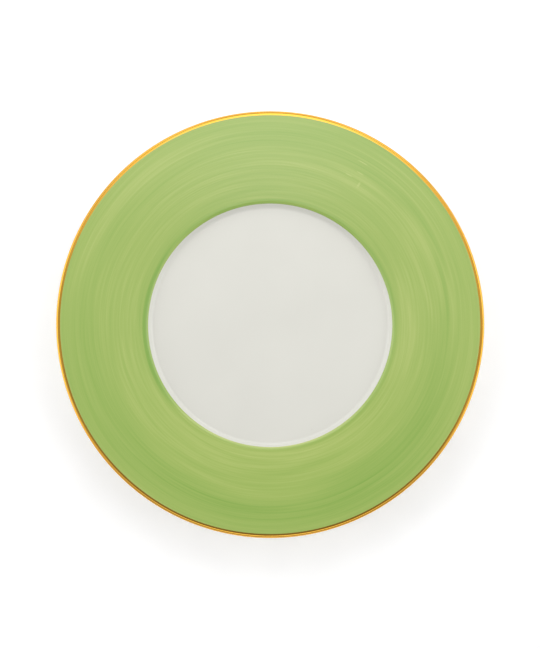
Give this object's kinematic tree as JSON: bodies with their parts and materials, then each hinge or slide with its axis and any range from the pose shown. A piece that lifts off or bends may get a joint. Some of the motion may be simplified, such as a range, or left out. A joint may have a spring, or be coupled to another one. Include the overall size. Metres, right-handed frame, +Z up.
{
  "type": "dinner plate",
  "caption": "Round porcelain dinner plate with a flat wide rim, brushed coloured band, gold line at the lip, small flat well and a foot ring.",
  "frame": {"origin": "middle of the foot ring, on the surface that the plate stands on", "axes": "+Z up along the plate's axis, out of the well; the plate is round, so X and Y are any two directions across it"},
  "size_m": [0.27, 0.27, 0.022],
  "materials": {
    "bare_porcelain": "unglazed hard porcelain, ground smooth at the foot",
    "clear_glaze": "glossy clear glaze over white porcelain",
    "green_enamel": "on-glaze enamel, banded on with a brush and fired glossy",
    "burnished_gold": "fired gold, burnished"
  },
  "bodies": {
    "root": {"porcelain_body": "bare_porcelain", "outer_glaze": "clear_glaze", "recess_glaze": "clear_glaze", "green_enamel_band": "green_enamel", "gold_rim_line": "burnished_gold"}
  },
  "joints": []
}
